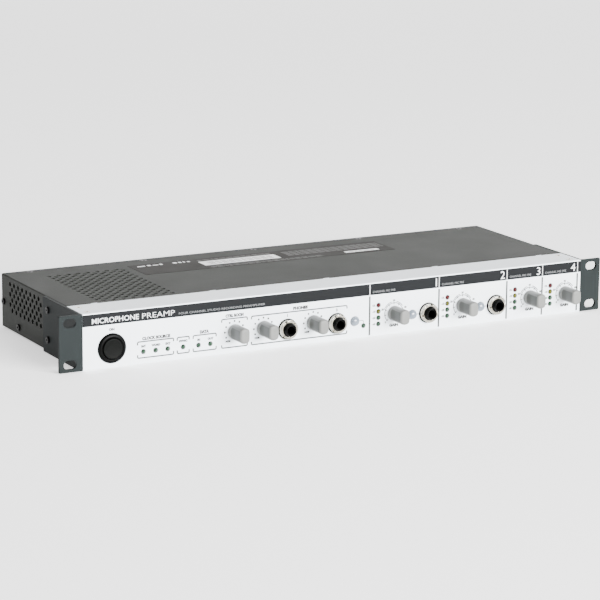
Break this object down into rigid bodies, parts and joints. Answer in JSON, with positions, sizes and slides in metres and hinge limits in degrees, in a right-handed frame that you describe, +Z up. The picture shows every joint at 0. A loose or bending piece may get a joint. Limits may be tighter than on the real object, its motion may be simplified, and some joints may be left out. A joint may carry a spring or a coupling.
{
  "type": "microphone preamp",
  "caption": "One-unit rack microphone preamp: silver folded front panel with knobs, jacks, lights and buttons, dark vented steel case, ears and rear sockets.",
  "frame": {"origin": "centre of the four rack slots, on the ears' front face", "axes": "+X to the right seen from the front, +Y into the rack (to the back), +Z up"},
  "size_m": [0.4826, 0.1898, 0.044],
  "materials": {
    "silver_paint": "satin silver paint",
    "charcoal_paint": "fine matte powder coat",
    "bracket_paint": "fine matte powder coat",
    "black_steel": "black oxide",
    "bright_steel": "bright zinc",
    "nickel": "polished nickel",
    "black_plastic": "satin",
    "knob_plastic": "satin warm grey",
    "button_plastic": "semi gloss steel grey",
    "green_lens": "tinted lens, unlit",
    "yellow_lens": "tinted lens, unlit",
    "red_lens": "tinted lens, unlit",
    "board_green": "solder mask",
    "winding": "enamelled wire and tape",
    "aluminium_part": "bare",
    "label_vinyl": "matte vinyl",
    "grey_plastic": "satin"
  },
  "bodies": {
    "case": {"front_panel": "silver_paint", "top_cover": "charcoal_paint", "bottom_chassis": "charcoal_paint", "rear_panel": "charcoal_paint", "left_rack_bracket": "bracket_paint", "right_rack_bracket": "bracket_paint", "bracket_screws": "black_steel", "cover_side_screws": "black_steel", "cover_rear_screws": "black_steel", "flange_screws": "bright_steel", "bottom_screws": "black_steel", "cover_label": "label_vinyl", "power_button_bezel": "black_plastic", "power_switch": "grey_plastic", "potentiometers": "aluminium_part", "pot_nuts": "nickel", "button_switches": "black_plastic", "status_lights": "green_lens", "level_lights_low": "green_lens", "level_lights_high": "yellow_lens", "overload_lights": "red_lens", "front_jacks": "black_plastic", "jack_nuts": "nickel", "jack_washers": "black_steel", "line_sockets": "black_plastic", "mains_inlet": "black_plastic", "mains_pins": "nickel", "mic_sockets": "black_plastic", "mic_inserts": "black_plastic", "socket_screws": "black_steel", "word_clock_sockets": "nickel", "data_ports": "nickel", "front_board": "board_green", "main_board": "board_green", "power_supply_board": "board_green", "board_fixings": "bright_steel", "ribbon_cable": "grey_plastic", "power_transformer": "winding", "supply_capacitors": "grey_plastic", "heatsinks": "aluminium_part", "preamp_modules": "aluminium_part", "chips": "black_plastic"},
    "power_button": {"power_button": "black_plastic"},
    "control_room_knob": {"control_room_knob": "knob_plastic", "control_room_shaft": "aluminium_part"},
    "phones_1_knob": {"phones_knob_1": "knob_plastic", "phones_shaft_1": "aluminium_part"},
    "phones_2_knob": {"phones_knob_2": "knob_plastic", "phones_shaft_2": "aluminium_part"},
    "gain_1_knob": {"gain_knob_1": "knob_plastic", "gain_shaft_1": "aluminium_part"},
    "gain_2_knob": {"gain_knob_2": "knob_plastic", "gain_shaft_2": "aluminium_part"},
    "gain_3_knob": {"gain_knob_3": "knob_plastic", "gain_shaft_3": "aluminium_part"},
    "gain_4_knob": {"gain_knob_4": "knob_plastic", "gain_shaft_4": "aluminium_part"},
    "phantom_button": {"phantom_button": "button_plastic"},
    "channel_button_1": {"channel_button_1": "button_plastic"},
    "channel_button_2": {"channel_button_2": "button_plastic"}
  },
  "joints": [
    {"name": "control_room_turn", "type": "hinge", "parent": "case", "child": "control_room_knob", "pos_m": [-0.0958, -0.01, -0.0047], "axis": [0, -1, 0], "range_deg": [-150, 150]},
    {"name": "phones_1_turn", "type": "hinge", "parent": "case", "child": "phones_1_knob", "pos_m": [-0.0708, -0.01, -0.0047], "axis": [0, -1, 0], "range_deg": [-150, 150]},
    {"name": "phones_2_turn", "type": "hinge", "parent": "case", "child": "phones_2_knob", "pos_m": [-0.0272, -0.01, -0.0047], "axis": [0, -1, 0], "range_deg": [-150, 150]},
    {"name": "gain_1_turn", "type": "hinge", "parent": "case", "child": "gain_1_knob", "pos_m": [0.0454, -0.01, -0.0047], "axis": [0, -1, 0], "range_deg": [-150, 150]},
    {"name": "gain_2_turn", "type": "hinge", "parent": "case", "child": "gain_2_knob", "pos_m": [0.1089, -0.01, -0.0047], "axis": [0, -1, 0], "range_deg": [-150, 150]},
    {"name": "gain_3_turn", "type": "hinge", "parent": "case", "child": "gain_3_knob", "pos_m": [0.1729, -0.01, -0.0047], "axis": [0, -1, 0], "range_deg": [-150, 150]},
    {"name": "gain_4_turn", "type": "hinge", "parent": "case", "child": "gain_4_knob", "pos_m": [0.207, -0.01, -0.0047], "axis": [0, -1, 0], "range_deg": [-150, 150]},
    {"name": "power_press", "type": "slide", "parent": "case", "child": "power_button", "axis": [0, 1, 0], "range_m": [0, 0.003], "stiffness_N_per_m": 300, "springref_m": -0.001},
    {"name": "phantom_press", "type": "slide", "parent": "case", "child": "phantom_button", "axis": [0, 1, 0], "range_m": [0, 0.0012], "stiffness_N_per_m": 300, "springref_m": -0.001},
    {"name": "channel_press_1", "type": "slide", "parent": "case", "child": "channel_button_1", "axis": [0, 1, 0], "range_m": [0, 0.0012], "stiffness_N_per_m": 300, "springref_m": -0.001},
    {"name": "channel_press_2", "type": "slide", "parent": "case", "child": "channel_button_2", "axis": [0, 1, 0], "range_m": [0, 0.0012], "stiffness_N_per_m": 300, "springref_m": -0.001}
  ]
}
